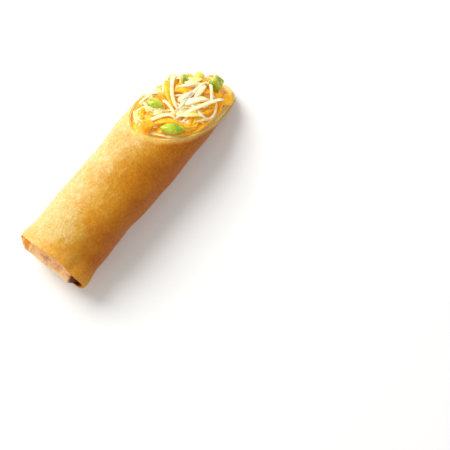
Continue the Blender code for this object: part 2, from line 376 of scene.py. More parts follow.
def crustMaterial(group):
    material, tree, shader, place = startMaterial("friedCrust", crust["roughness"], crust["specular"])
    fried = addMottle(tree, group, place)
    where = axes(tree, place)
    # real browning plus painted shade: darker across towards the flank away from the key light and downwards,
    # paler again near the bottom
    across = mathNode(tree, "MULTIPLY", where["Y"], crust["across"])
    low = mathNode(tree, "SUBTRACT", where["Z"], crust["downFrom"])
    low = mathNode(tree, "MULTIPLY", low, crust["down"])
    side = mathNode(tree, "ADD", across, low)
    under = rangeNode(tree, where["Z"], *crust["underRange"], 0.0, crust["underPaler"])
    side = mathNode(tree, "SUBTRACT", side, under)
    wander = mathNode(tree, "MULTIPLY", mathNode(tree, "SUBTRACT", fried["Patch"], 0.5), crust["wander"])
    far, near = ((lipAt + length) * mm for length in crust["endBetween"])
    nearLip = rangeNode(tree, where["X"], far, near, 0.0, crust["endPaler"])
    wander = mathNode(tree, "ADD", wander, nearLip)
    browningAndShade = rangeNode(tree, mathNode(tree, "SUBTRACT", side, wander), *crust["browningAndShadeRange"])
    colour = rampNode(tree, browningAndShade, crust["bands"])
    lipEnd = (lipAt + crust["lipLength"]) * mm
    lip = rangeNode(tree, where["X"], lipEnd, lipAt * mm, 0.0, crust["lipShare"])
    colour = mixColour(tree, lip, colour, crust["lip"])
    spots = mathNode(tree, "MULTIPLY", fried["Spots"], crust["spotShare"])
    colour = mixColour(tree, spots, colour, crust["spot"])
    fade = rangeNode(tree, browningAndShade, *crust["blisterFade"])
    blistered = mathNode(tree, "MULTIPLY", fried["Blisters"], fade)
    upper = rangeNode(tree, where["Z"], *crust["blistersAbove"])
    blistered = mathNode(tree, "MULTIPLY", blistered, upper)
    colour = mixColour(tree, blistered, colour, crust["blister"])
    edge = mathNode(tree, "MULTIPLY", attribute(tree, "cutEdge"), crust["edgeShare"])
    colour = mixColour(tree, edge, colour, crust["edge"])
    addGrain(tree, shader, fried, colour, crust["grain"])
    rough = mathNode(tree, "MULTIPLY", fried["Patch"], crust["roughSpread"])
    rough = mathNode(tree, "ADD", rough, crust["roughness"] - crust["roughSpread"] / 2.0)
    link(tree, rough, shader.inputs["Roughness"])
    soften(shader, crust["soft"], crust["softRadius"])
    addBump(tree, shader, fried["Height"], crust["grainDepth"])
    return material


panel = {
    "tan": (0.98, 0.47, 0.24), "gold": (1.0, 0.58, 0.19),
    "blotch": (0.52, 0.17, 0.07), "blotches": (330.0, 4.0, 0.6, 0.4), "blotchRange": (0.46, 0.68, 0.0, 0.8),
    "rim": (1.0, 0.74, 0.33), "rimRange": (0.0175, 0.0130, 0.0, 0.65),
    "shade": (0.46, 0.19, 0.07), "shadeRange": (0.0200, 0.0240, 0.0, 0.7),
    # hole is a painted shadow: near-black brown in the hole under the right corner, where there is deep shade
    "lobe": (1.0, 0.38, 0.018), "hole": (0.14, 0.026, 0.006), "holeDuller": 0.45,
    "grain": [(0.90, 0.85, 0.78), (1.06, 1.07, 1.10)], "grainDepth": 0.00025,
    "roughness": 0.42, "specular": 0.3,
}


def panelMaterial(group):       # paler at its bulging rim, with painted shade in under the lip
    material, tree, shader, place = startMaterial("friedPanel", panel["roughness"], panel["specular"])
    fried = addMottle(tree, group, place)
    colour = mixColour(tree, fried["Patch"], panel["tan"], panel["gold"])
    blotch = noiseNode(tree, place, *panel["blotches"])
    blotch = rangeNode(tree, blotch, *panel["blotchRange"])
    colour = mixColour(tree, blotch, colour, panel["blotch"])
    where = axes(tree, place)
    # shade is painted shade, a contact shadow under the lip
    for zone in ("rim", "shade"):
        share = rangeNode(tree, where["Z"], *panel[zone + "Range"])
        colour = mixColour(tree, share, colour, panel[zone])
    colour = mixColour(tree, attribute(tree, "onLobe"), colour, panel["lobe"])
    # painted shadow in the hole, made duller too
    paintedHoleShade = attribute(tree, "paintedHoleShade")
    colour = mixColour(tree, paintedHoleShade, colour, panel["hole"])
    rough = mathNode(tree, "MULTIPLY", paintedHoleShade, panel["holeDuller"])
    rough = mathNode(tree, "ADD", rough, panel["roughness"])
    link(tree, rough, shader.inputs["Roughness"])
    addGrain(tree, shader, fried, colour, panel["grain"])
    addBump(tree, shader, fried["Height"], panel["grainDepth"])
    return material


dough = {
    "pale": (0.97, 0.74, 0.32), "gold": (0.88, 0.55, 0.11), "roughness": 0.45, "grainDepth": 0.00018,
    "soft": 0.2, "softRadius": (0.0025, 0.0014, 0.0006),
}


def doughMaterial(group):       # the inner layers, softer and paler than the crust
    material, tree, shader, place = startMaterial("softDough", dough["roughness"])
    fried = addMottle(tree, group, place)
    colour = mixColour(tree, fried["Patch"], dough["gold"], dough["pale"])
    link(tree, colour, shader.inputs["Base Color"])
    soften(shader, dough["soft"], dough["softRadius"])
    addBump(tree, shader, fried["Height"], dough["grainDepth"])
    return material


# what all cooked vegetables share: cloudy colour, soft light, a wet coat and a painted glow where one is set
cooked = {
    "cloud": (4.0, 0.6, 0.3), "cloudRange": (0.36, 0.64), "fineScale": 3.5, "fine": (3.0, 0.6),
    "softRadius": (0.0040, 0.0028, 0.0012), "ior": 1.38, "coatRoughness": 0.15,
}


def vegetableMaterial(name, dark, light, settings):
    material, tree, shader, place = startMaterial(name, settings["roughness"])
    cloud = noiseNode(tree, place, settings["scale"], *cooked["cloud"])
    colour = mixColour(tree, rangeNode(tree, cloud, *cooked["cloudRange"]), dark, light)
    link(tree, colour, shader.inputs["Base Color"])
    soften(shader, settings["soft"], cooked["softRadius"])
    shader.inputs["IOR"].default_value = cooked["ior"]
    shader.inputs["Emission Color"].default_value = (*light, 1.0)       # painted glow, standing in for light scattered among the shreds
    shader.inputs["Emission Strength"].default_value = settings.get("paintedGlow", 0.0)
    shader.inputs["Coat Weight"].default_value = settings["coat"]
    shader.inputs["Coat Roughness"].default_value = cooked["coatRoughness"]
    fine = noiseNode(tree, place, settings["scale"] * cooked["fineScale"], *cooked["fine"])
    addBump(tree, shader, fine, settings["bump"])
    return material


friedMottle = mottleGroup()
crustLook = crustMaterial(friedMottle)
panelLook = panelMaterial(friedMottle)
doughLook = doughMaterial(friedMottle)
noodleLook = vegetableMaterial("glassNoodle", (0.98, 0.74, 0.36), (1.0, 0.88, 0.58), {
    "roughness": 0.32, "scale": 260.0, "soft": 0.75, "coat": 0.25, "bump": 0.00004, "paintedGlow": 0.06})
carrotLook = vegetableMaterial("cookedCarrot", (0.98, 0.32, 0.004), (1.0, 0.54, 0.020), {
    "roughness": 0.38, "scale": 330.0, "soft": 0.6, "coat": 0.15, "bump": 0.00012, "paintedGlow": 0.08})
cabbageLook = vegetableMaterial("cookedCabbage", (0.96, 0.68, 0.17), (1.0, 0.87, 0.47), {
    "roughness": 0.38, "scale": 300.0, "soft": 0.7, "coat": 0.15, "bump": 0.00012, "paintedGlow": 0.08})
coreLook = vegetableMaterial("packedShreds", (0.95, 0.36, 0.006), (1.0, 0.60, 0.03), {
    "roughness": 0.45, "scale": 420.0, "soft": 0.5, "coat": 0.1, "bump": 0.0004, "paintedGlow": 0.09})
podLook = vegetableMaterial("greenPod", (0.20, 0.26, 0.004), (0.52, 0.56, 0.030), {
    "roughness": 0.25, "scale": 330.0, "soft": 0.3, "coat": 0.5, "bump": 0.00010})
beanLook = vegetableMaterial("greenBean", (0.25, 0.37, 0.005), (0.56, 0.66, 0.035), {
    "roughness": 0.25, "scale": 240.0, "soft": 0.3, "coat": 0.5, "bump": 0.00006})
cornLook = vegetableMaterial("sweetcorn", (0.93, 0.66, 0.05), (0.98, 0.82, 0.16), {
    "roughness": 0.28, "scale": 300.0, "soft": 0.4, "coat": 0.4, "bump": 0.00004})
crumbLook = vegetableMaterial("softCrumb", (0.88, 0.58, 0.10), (0.96, 0.80, 0.30), {
    "roughness": 0.45, "scale": 700.0, "soft": 0.3, "coat": 0.1, "bump": 0.0002})
speckLook = vegetableMaterial("darkSpeck", (0.10, 0.035, 0.006), (0.22, 0.08, 0.015), {
    "roughness": 0.5, "scale": 700.0, "soft": 0.1, "coat": 0.0, "bump": 0.0002})
print("materials made")


# the rolled sheet is a flat grid, rolled up with its last corner as a flap
sheet = {
    "rows": 190, "columns": 150, "length": 112.0, "thickness": 0.55,
    "curlRows": 0.07, "curlLength": 4.5, "curlRadius": 1.9, "curlTurn": 105.0, "upperSide": (-0.3, 0.4),
    "fold": 0.9, "foldAcross": -10.5, "foldLean": 0.16, "foldWidth": 2.2,
    "foldStart": 2.0, "foldLength": 20.0, "foldSide": (0.2, 0.6),
    "lipWave": 1.2, "lipWaveAngle": 101.0, "lipWaveSpread": 24.0,
    "dents": 0.42, "dentSize": 10.0, "dentsFrom": 3.0,
    "pimples": 0.09, "pimpleSize": 2.6, "pimpleShift": (7.0, 3.0, 1.0),
    "flatSpot": 0.02, "paleEdge": 0.05, "curlIn": 0.7, "curlInLength": 4.0,
}


def unevenness(place):      # soft dents and small pimples of the fried sheet, in mm
    dent = sheet["dents"] * noise.noise(place / sheet["dentSize"])
    pimple = sheet["pimples"] * noise.noise(place / sheet["pimpleSize"] + Vector(sheet["pimpleShift"]))
    return (dent + pimple) * smooth(0.0, sheet["dentsFrom"], place.z)


def lipCurl(fromEnd, angle):        # how far the cut edge curls in over the filling
    upwards = max(0.0, math.sin(math.radians(angle)))
    return sheet["curlIn"] * smooth(sheet["curlInLength"], 0.0, fromEnd) * upwards


def awayFromAxis(point):
    return Vector((0.0, point.y, point.z - roll["axis"])).normalized()


def sheetPoint(lengthShare, turnShare):     # a place on the sheet, from its end to the cut and round
    past = turnShare * (360.0 + flap["overlap"])
    angle = flapAngle(lengthShare * sheet["length"]) + past
    lift = flap["step"] * (1.0 - smooth(0.0, flap["fade"], past))
    curled = lengthShare / sheet["curlRows"]
    height = math.sin(math.radians(angle))
    upper = smooth(*sheet["upperSide"], height)
    end = cutAlong(angle)
    if curled < 1.0:        # a straight lip above, curled in below
        turn = math.radians(sheet["curlTurn"] * (1.0 - curled))
        lip = sheet["lipWave"] * bell(angle, sheet["lipWaveAngle"], sheet["lipWaveSpread"])
        lip = mix(lip, sheet["curlLength"], curled)
        along = mix(-sheet["curlRadius"] * math.sin(turn), lip, upper)
        depth = mix(sheet["curlRadius"] * (1.0 - math.cos(turn)), 0.0, upper)
    else:
        start = sheet["curlLength"] * upper
        along = mix(start, end, (curled - 1.0) / (1.0 / sheet["curlRows"] - 1.0))
        depth = 0.0
    point = skinPoint(max(along, 0.0), angle, depth + lipCurl(end - along, angle) - lift)
    point.x = along
    outward = awayFromAxis(point)
    foldAt = sheet["foldAcross"] - sheet["foldLean"] * along
    fold = math.exp(-((point.y - foldAt) / sheet["foldWidth"]) ** 2)
    fold *= smooth(sheet["foldLength"], sheet["foldStart"], along) * smooth(*sheet["foldSide"], height)
    point -= sheet["fold"] * fold * outward
    if point.z > sheet["flatSpot"]:
        point += unevenness(point) * outward
    return point


def thicken(obj, thickness, innerSlot=0):       # a wall inwards, its inner side in its own material
    for look in (crustLook, doughLook):
        obj.data.materials.append(look)
    solid = obj.modifiers.new("thickness", "SOLIDIFY")
    solid.thickness = thickness * mm
    solid.offset = -1.0
    solid.material_offset = innerSlot
    applyAll(obj)


def makeSkin():
    deselect()
    bpy.ops.mesh.primitive_grid_add(x_subdivisions=sheet["rows"], y_subdivisions=sheet["columns"], size=1.0)
    skin = bpy.context.object
    edge = skin.data.attributes.new("cutEdge", "FLOAT", "POINT")
    for vert in skin.data.vertices:
        lengthShare = vert.co.x + 0.5
        edge.data[vert.index].value = smooth(1.0 - sheet["paleEdge"], 1.0, lengthShare)
        vert.co = toScene(sheetPoint(lengthShare, 0.5 - vert.co.y))
    thicken(skin, sheet["thickness"], 1)
    return finishPiece(skin, "pastrySkin", [crustLook, doughLook], "pastry", "wrapper")


makeSkin()


# the folded panel shuts the end, tucked in behind the upper lip; heights from -1 at its foot to 1
tuck = {
    "segments": 144, "rings": 90, "inset": 1.15, "lowInset": 0.8, "upperSide": (-0.3, 0.3), "behind": 2.0,
    "bulge": endBulge, "fullest": -0.15, "fullBelow": 0.87, "top": 0.85,
    "recess": 2.8, "low": -0.6, "recessBetween": (-0.6, 0.0),
    "leftEnd": 12.2, "rightEnd": -13.4, "waver": 0.7, "waverSize": 4.0,
    "turnIn": 1.6, "softer": 2.4, "softerBetween": (0.2, -0.7), "spread": 5.0, "spreadBetween": (-0.1, -0.9),
    "hole": 1.1, "holeAt": -11.2, "holeEdge": (0.5, -1.0),
    # holeShadeEdge bounds the painted shadow in the hole; lobeTint bounds the lobe's own orange
    "holeShadeEdge": (0.4, -0.6), "lobeTint": 0.8, "tintAndShadeFrom": (-10.0, -6.0),
    "lobe": 5.4, "lobeAcross": 15.3, "lobeWidth": 2.7, "lobeUp": 14.0, "lobeHeight": 5.5,
    "wrinkle": 0.5, "wrinkleSize": (5.0, 2.4), "fineWrinkle": 0.5, "fineWrinkleSize": (2.2, 1.4),
}


def wrinkles(place, size, shift):
    return noise.noise(Vector((place.y / size[0], place.z / size[1], shift)))


def panelOut(place, up):        # how far the panel bulges out, from 0 to 1
    if up < tuck["fullest"]:
        out = math.sqrt(max(0.0, 1.0 - ((up - tuck["fullest"]) / tuck["fullBelow"]) ** 2))
    else:
        out = 1.0 - smooth(tuck["fullest"], tuck["top"], up)
    wider = tuck["spread"] * smooth(*tuck["spreadBetween"], up)
    turnIn = tuck["turnIn"] + tuck["softer"] * smooth(*tuck["softerBetween"], up)
    waver = [tuck["waver"] * noise.noise(Vector((side, place.z / tuck["waverSize"], 0.0))) for side in (1, 5)]
    leftEnd = tuck["leftEnd"] + wider + waver[0]
    rightEnd = tuck["rightEnd"] - wider + waver[1]
    out *= smooth(leftEnd + turnIn, leftEnd - turnIn, place.y)
    return out * smooth(rightEnd - turnIn, rightEnd + turnIn, place.y)


def panelAlong(place):      # how far in the panel lies, over one point of the end
    up = (place.z - roll["endAxis"]) / roll["endHalfHeight"]
    inner = mix(tuck["low"], tuck["recess"], smooth(*tuck["recessBetween"], up))
    along = mix(inner, -tuck["bulge"], panelOut(place, up))
    across = (place.y - tuck["lobeAcross"]) / tuck["lobeWidth"]
    along -= tuck["lobe"] * math.exp(-across ** 2 - ((place.z - tuck["lobeUp"]) / tuck["lobeHeight"]) ** 2)
    along += tuck["hole"] * smooth(*tuck["holeEdge"], place.y - tuck["holeAt"])
    ripple = wrinkles(place, tuck["wrinkleSize"], 3.0)
    ripple += tuck["fineWrinkle"] * wrinkles(place, tuck["fineWrinkleSize"], 8.0)
    return along + tuck["wrinkle"] * ripple


def makePanel():
    deselect()
    bpy.ops.mesh.primitive_uv_sphere_add(segments=tuck["segments"], ring_count=tuck["rings"], radius=1.0)
    shape = bpy.context.object
    shade = shape.data.attributes.new("paintedHoleShade", "FLOAT", "POINT")
    lobe = shape.data.attributes.new("onLobe", "FLOAT", "POINT")
    middle = Vector((0.0, 0.0, roll["endAxis"]))
    for vert in shape.data.vertices:
        angle = math.degrees(math.atan2(vert.co.y, vert.co.x))
        reach = math.hypot(vert.co.x, vert.co.y)
        upper = smooth(*tuck["upperSide"], math.sin(math.radians(angle)))
        rim = skinPoint(0.0, angle, mix(tuck["lowInset"], tuck["inset"], upper))
        place = middle + reach * (rim - middle)
        place.x = panelAlong(place)
        # above the axis: the painted shadow in the hole and the lobe's own orange
        above = smooth(*tuck["tintAndShadeFrom"], place.z - roll["endAxis"])
        shade.data[vert.index].value = above * smooth(*tuck["holeShadeEdge"], place.y - tuck["holeAt"])
        past = place.y - tuck["leftEnd"]
        lobe.data[vert.index].value = above * smooth(-tuck["lobeTint"], tuck["lobeTint"], past)
        if vert.co.z < 0.0:
            place.x += tuck["behind"] * min(1.0, -2.0 * vert.co.z)
        vert.co = toScene(place)
    closeMesh(shape)
    return finishPiece(shape, "foldedPanel", panelLook, "pastry", "wrapper")


makePanel()


# the inner layers of the rolled sheet, which show at the cut
layers = {
    "turns": 4.2, "columns": 420, "rows": 12, "deep": 12.0, "proud": 0.25,
    "first": 0.2, "last": 2.9, "thickness": 0.6, "start": 250.0,
    "ragged": 0.6, "raggedSize": 26.0, "raggedChange": 9.0,
    "raised": 0.9, "raisedAngle": 165.0, "raisedSpread": 40.0,
    "flutter": 0.12, "flutterSize": (17.0, 3.0, 5.0),
}


def layerPoint(backShare, turnShare):       # a place on the inner layers, back from the cut and round
    turned = turnShare * layers["turns"] * 360.0
    angle = layers["start"] + turned
    inset = mix(layers["first"], layers["last"], turnShare)
    place = Vector((turned / layers["raggedSize"], turnShare * layers["raggedChange"], 0.0))
    ragged = layers["ragged"] * noise.noise(place)
    ragged += layers["raised"] * turnShare * bell(angle, layers["raisedAngle"], layers["raisedSpread"])
    along = cutAlong(angle) + ragged + layers["proud"] - backShare * layers["deep"]
    outer = 1.0 - turnShare     # the outermost layer follows the skin's lip and dents
    point = skinPoint(along, angle, inset + lipCurl(cutAlong(angle) - along, angle) * outer)
    outward = awayFromAxis(point)
    point += unevenness(point) * outer * outward
    size = layers["flutterSize"]
    place = Vector((turned / size[0], backShare * size[1], turnShare * size[2]))
    flutter = layers["flutter"] * noise.noise(place)
    return point + (flutter * (1.0 - backShare)) * outward


def makeLayers():
    deselect()
    bpy.ops.mesh.primitive_grid_add(x_subdivisions=layers["rows"], y_subdivisions=layers["columns"], size=1.0)
    strip = bpy.context.object
    for vert in strip.data.vertices:
        vert.co = toScene(layerPoint(0.5 - vert.co.x, 0.5 - vert.co.y))
    thicken(strip, layers["thickness"])
    return finishPiece(strip, "innerLayers", doughLook, "pastry", "wrapper")


makeLayers()
print("pastry made")


# the filling is a packed core, with loose strands heaped on its cut face
core = {
    "segments": 112, "rings": 88, "sink": 1.0, "sinkEdge": 0.9,
    "rough": 0.7, "roughSize": 1.7, "roughEdge": 0.88,
    "start": 9.8, "behindCut": 0.4, "inWall": 0.1, "sideShare": 0.8,
}


def corePoint(polar, angle):        # polar runs from the heap's middle, over the rim at 1, to the back at 2
    if polar <= 1.0:
        place = heapPoint(polar, angle, -core["sink"] * smooth(1.0, core["sinkEdge"], polar))
        rough = core["rough"] * noise.noise(place / core["roughSize"])
        return place + rough * smooth(1.0, core["roughEdge"], polar) * cutNormal()
    down = polar - 1.0
    end = cutAlong(angle) - heap["setBack"] - core["behindCut"]
    along = mix(end, core["start"], min(down / core["sideShare"], 1.0))
    place = skinPoint(along, angle, roll["wall"] + core["inWall"])
    if down > core["sideShare"]:
        middle = Vector((core["start"], 0.0, roll["endAxis"]))
        place = mix(middle, place, (1.0 - down) / (1.0 - core["sideShare"]))
    return place


def makeCore():
    deselect()
    bpy.ops.mesh.primitive_uv_sphere_add(segments=core["segments"], ring_count=core["rings"], radius=1.0)
    shape = bpy.context.object
    for vert in shape.data.vertices:
        angle = math.degrees(math.atan2(vert.co.y, vert.co.x))
        polar = 2.0 * math.acos(max(-1.0, min(1.0, vert.co.z))) / math.pi
        vert.co = toScene(corePoint(polar, angle))
    closeMesh(shape)
    return finishPiece(shape, "packedCore", coreLook, "filling", "filling")


makeCore()


def heapFrame(radius, angle):       # outward normal and two directions in the heap's surface
    centre = heapPoint(radius, angle)
    outer = heapPoint(min(radius + strewn["step"], 1.0), angle)
    inner = heapPoint(max(radius - strewn["step"], strewn["nearest"]), angle)
    side = heapPoint(radius, angle + strewn["turnStep"])
    outwards = (outer - inner).normalized()
    around = (side - centre).normalized()
    normal = outwards.cross(around).normalized()
    if normal.dot(cutNormal()) < 0.0:
        normal.negate()
    return centre, normal, outwards, around


def pathPoint(points, share):       # a smooth curve through the given points
    place = share * (len(points) - 1)
    index = min(int(place), len(points) - 2)
    first, second = points[index], points[index + 1]
    before = points[index - 1] if index > 0 else 2.0 * first - second
    after = points[index + 2] if index + 2 < len(points) else 2.0 * second - first
    step = place - index
    bend = (second - before) * step
    bend += (2.0 * before - 5.0 * first + 4.0 * second - after) * step ** 2
    bend += (3.0 * first - before - 3.0 * second + after) * step ** 3
    return first + 0.5 * bend


def strand(points, thick, wide, tilt, twist, settings):     # a closed strand along a path in mm
    bpy.ops.mesh.primitive_uv_sphere_add(segments=strewn["segments"], ring_count=strewn["rings"], radius=1.0)
    shape = bpy.context.object
    for vert in shape.data.vertices:
        share = math.acos(max(-1.0, min(1.0, vert.co.z))) / math.pi
        turn = math.atan2(vert.co.y, vert.co.x)
        middle = pathPoint(points, share)
        ahead = pathPoint(points, min(share + strewn["pathStep"], 1.0))
        ahead = (ahead - pathPoint(points, max(share - strewn["pathStep"], 0.0))).normalized()
        side = ahead.cross(cutNormal()).normalized()
        up = side.cross(ahead)
        spin = tilt + twist * (share - 0.5)
        side, up = math.cos(spin) * side + math.sin(spin) * up, math.cos(spin) * up - math.sin(spin) * side
        body = math.sqrt(max(0.0, 1.0 - abs(2.0 * share - 1.0) ** strewn["blunt"]))
        shift = Vector((wide, thick, tilt))
        body *= 1.0 + settings["uneven"] * noise.noise(middle / strewn["unevenSize"] + shift)
        corner = settings["corner"]
        across = 0.5 * wide * body * math.copysign(abs(math.cos(turn)) ** corner, math.cos(turn))
        above = 0.5 * thick * body * math.copysign(abs(math.sin(turn)) ** corner, math.sin(turn))
        vert.co = toScene(middle + across * side + above * up)
    return shape


def joinFilling(objects, name, material):
    return finishPiece(joinPieces(objects), name, material, "filling", "filling")


# how all strands are made, and how the loose ones are strewn
strewn = {
    "segments": 12, "rings": 22, "blunt": 5, "pathStep": 0.02, "unevenSize": 1.6, "laidTwist": 0.6,
    "spread": 0.88, "step": 0.05, "nearest": 0.02, "turnStep": 8.0,
    "jitter": 0.3, "droop": 7.0, "tilt": 0.5, "twist": 1.2,
    "outOfCut": 1.0, "wallUpTo": 70.0, "wallGap": 0.9,
}
# places on the heap: share of the way out to the rim, angle round the cut, height over the heap
noodles = {
    "corner": 1.0, "uneven": 0.15, "swell": 1.12, "seed": 11, "count": 16, "dip": 1.2,
    "thick": (0.9, 1.1), "wide": (1.1, 1.4), "length": (12.0, 18.0), "lift": (-0.5, 0.3), "bend": 0.8,
    "laid": [
        (1.1, 1.6, [(0.82, 322, 1.6), (0.62, 332, 2.2), (0.30, 8, 2.2), (0.30, 88, 1.8), (0.46, 116, 1.4)]),
        (1.2, 1.7, [(0.48, 112, 1.5), (0.2, 144, 2.2), (0.24, 200, 2.6), (0.4, 232, 2.6), (0.56, 246, 2.0)]),
        (1.2, 2.2, [(0.46, 226, 3.4), (0.40, 204, 3.2), (0.34, 172, 2.4)]),
        (1.1, 1.7, [(0.54, 128, 1.4), (0.64, 150, 2.2), (0.78, 180, 2.4), (0.92, 200, 2.2), (1.0, 214, 1.8)]),
        (1.2, 1.8, [(0.92, 64, 0.8), (0.84, 78, 1.5), (0.72, 88, 1.6), (0.66, 104, 1.6), (0.76, 122, 1.2)]),
        (1.1, 1.6, [(0.48, 28, 1.2), (0.38, 66, 2.0), (0.56, 112, 1.6)]),
        (1.1, 1.5, [(0.60, 228, 3.2), (0.58, 214, 3.2), (0.66, 196, 2.4), (0.76, 184, 1.2)]),
        (1.0, 1.4, [(0.86, 22, 0.9), (0.78, 38, 1.3), (0.72, 58, 0.8)]),
        (1.1, 1.6, [(0.40, 340, 1.6), (0.20, 290, 2.4), (0.36, 250, 2.4), (0.50, 236, 2.0)]),
        (1.0, 1.4, [(0.98, 58, 0.5), (1.0, 68, 0.9), (0.98, 78, 0.6)]),
        (1.1, 1.5, [(0.84, 346, 1.0), (0.66, 350, 1.5), (0.50, 6, 1.2)]),
        (1.1, 3.3, [(0.24, 128, 1.9), (0.36, 158, 2.3), (0.52, 180, 2.2), (0.64, 190, 1.7)]),
        (1.0, 2.8, [(0.20, 96, 2.1), (0.12, 170, 2.6), (0.26, 222, 2.6)]),
    ],
}
shreds = {
    "corner": 0.55, "uneven": 0.22, "swell": 1.0, "seed": 23, "count": 44, "dip": 0.8,
    "thick": (1.1, 1.6), "wide": (2.0, 3.2), "length": (7.0, 13.0), "lift": (-0.8, 0.3), "bend": 0.4,
    "laid": [
        (1.5, 3.2, [(0.92, 328, 0.6), (0.62, 344, 1.4), (0.32, 24, 1.4), (0.36, 96, 0.8)]),
        (1.4, 3.4, [(0.40, 350, 0.9), (0.16, 340, 1.4), (0.20, 220, 1.4), (0.40, 214, 1.2)]),
        (1.4, 2.8, [(0.70, 10, 0.8), (0.52, 16, 1.2), (0.34, 34, 1.1)]),
        (1.5, 3.0, [(0.92, 72, 0.3), (0.82, 90, 0.9), (0.80, 112, 1.0), (0.90, 134, 0.8), (0.96, 150, 0.5)]),
        (1.4, 2.6, [(0.95, 68, 0.3), (0.90, 52, 0.7), (0.86, 36, 0.7)]),
        (1.5, 3.0, [(1.0, 138, 0.5), (0.98, 152, 0.8), (0.95, 166, 0.7), (0.92, 182, 0.4)]),
        (1.4, 2.8, [(0.38, 212, 1.3), (0.54, 206, 1.6), (0.70, 200, 1.4)]),
        (1.4, 2.8, [(0.70, 308, 1.0), (0.50, 296, 1.5), (0.34, 270, 1.6)]),
        (1.4, 2.8, [(0.66, 142, 0.6), (0.78, 160, 0.8), (0.86, 182, 0.6)]),
        (1.4, 2.6, [(0.98, 92, 0.4), (0.96, 104, 0.7), (0.97, 120, 0.5)]),
        (1.3, 2.4, [(0.99, 112, 0.3), (1.0, 126, 0.6), (0.99, 142, 0.4)]),
        (1.4, 2.6, [(0.93, 60, 0.0), (0.96, 74, 0.4), (0.98, 88, 0.2)]),
        (1.4, 2.8, [(0.74, 262, 0.6), (0.84, 250, 0.8), (0.92, 236, 0.4)]),
    ],
}
leaves = {
    "corner": 0.8, "uneven": 0.4, "swell": 1.0, "seed": 37, "count": 54, "dip": 0.6,
    "thick": (0.6, 0.9), "wide": (1.2, 3.4), "length": (6.0, 12.0), "lift": (-0.6, 0.5), "bend": 0.6,
    "laid": [
        (0.9, 3.0, [(0.56, 112, 1.4), (0.64, 132, 1.8), (0.76, 150, 1.6), (0.88, 164, 1.0)]),
        (1.2, 4.2, [(0.34, 304, 1.8), (0.40, 276, 2.4), (0.56, 262, 2.0)]),
        (0.9, 3.4, [(0.94, 6, 0.8), (0.78, 8, 1.4), (0.60, 2, 1.2)]),
        (1.0, 4.0, [(0.30, 140, 1.0), (0.44, 172, 1.6), (0.62, 184, 1.4), (0.76, 182, 1.0)]),
        (1.0, 3.6, [(0.94, 330, 1.4), (0.80, 328, 2.4), (0.60, 330, 1.6)]),
        (1.0, 3.2, [(0.74, 58, 0.6), (0.66, 72, 1.0), (0.60, 92, 0.9)]),
        (0.9, 3.0, [(0.82, 144, 0.8), (0.88, 156, 1.1), (0.92, 168, 0.8)]),
        (1.0, 3.6, [(0.28, 300, 1.6), (0.32, 262, 2.2), (0.44, 244, 2.2)]),
        (0.9, 2.6, [(1.0, 84, 0.4), (1.01, 96, 0.8), (1.0, 110, 0.5)]),
        (0.9, 2.4, [(1.0, 106, 0.5), (1.02, 118, 0.8), (1.0, 134, 0.5)]),
        (0.9, 2.6, [(0.92, 98, 0.6), (0.90, 112, 0.8), (0.93, 126, 0.6)]),
        (0.9, 2.8, [(1.0, 24, 0.6), (0.98, 40, 0.9), (1.0, 58, 0.6)]),
        (0.9, 2.4, [(0.93, 44, 0.3), (0.94, 56, 0.6), (0.90, 70, 0.3)]),
    ],
}


def layStrands(settings):       # the strands that lie on top, at listed places
    made = []
    for thick, wide, places in settings["laid"]:
        points = [heapPoint(out, angle, lift) for out, angle, lift in places]
        for end in (0, -1):
            points[end] -= settings["dip"] * cutNormal()
        made.append(strand(points, thick, settings["swell"] * wide, 0.0, strewn["laidTwist"], settings))
    return made


def scatterStrands(settings):       # strands strewn over the heap, ends dipping in
    dice = random.Random(settings["seed"])
    jitter = (-strewn["jitter"], strewn["jitter"])
    made = []
    for index in range(settings["count"]):
        radius = math.sqrt(dice.uniform(0.0, strewn["spread"]))
        angle = dice.uniform(0.0, 360.0)
        centre, normal, outwards, around = heapFrame(radius, angle)
        heading = dice.uniform(0.0, math.pi)
        forward = math.cos(heading) * outwards + math.sin(heading) * around
        sideways = normal.cross(forward)
        length = dice.uniform(*settings["length"])
        height = dice.uniform(*settings["lift"])
        curve = dice.uniform(-settings["bend"], settings["bend"])
        points = []
        for share in (-0.5, -0.25, 0.0, 0.25, 0.5):
            point = centre + forward * (share * length)
            point += sideways * (curve * length * (0.25 - share * share) + dice.uniform(*jitter))
            point += normal * (height - strewn["droop"] * share * share + dice.uniform(*jitter))
            points.append(keepInside(point))
        thick = dice.uniform(*settings["thick"])
        wide = dice.uniform(*settings["wide"])
        tilt = dice.uniform(-strewn["tilt"], strewn["tilt"])
        twist = dice.uniform(-strewn["twist"], strewn["twist"])
        made.append(strand(points, thick, wide, tilt, twist, settings))
    return made


def keepInside(point):      # near the rim, what hangs out is pulled in behind the pastry
    up = point.z - roll["axis"]
    angle = math.degrees(math.atan2(up / roll["halfHeight"], point.y / roll["halfWidth"]))
    if point.x > cutAlong(angle) + strewn["outOfCut"]:
        return point
    wall = skinPoint(min(point.x, strewn["wallUpTo"]), angle, roll["wall"] + strewn["wallGap"])
    share = min(1.0, math.hypot(wall.y, wall.z - roll["axis"]) / math.hypot(point.y, up))
    return Vector((point.x, point.y * share, roll["axis"] + up * share))


joinFilling(layStrands(leaves) + scatterStrands(leaves), "cabbageShreds", cabbageLook)
joinFilling(layStrands(shreds) + scatterStrands(shreds), "carrotShreds", carrotLook)
joinFilling(layStrands(noodles) + scatterStrands(noodles), "glassNoodles", noodleLook)


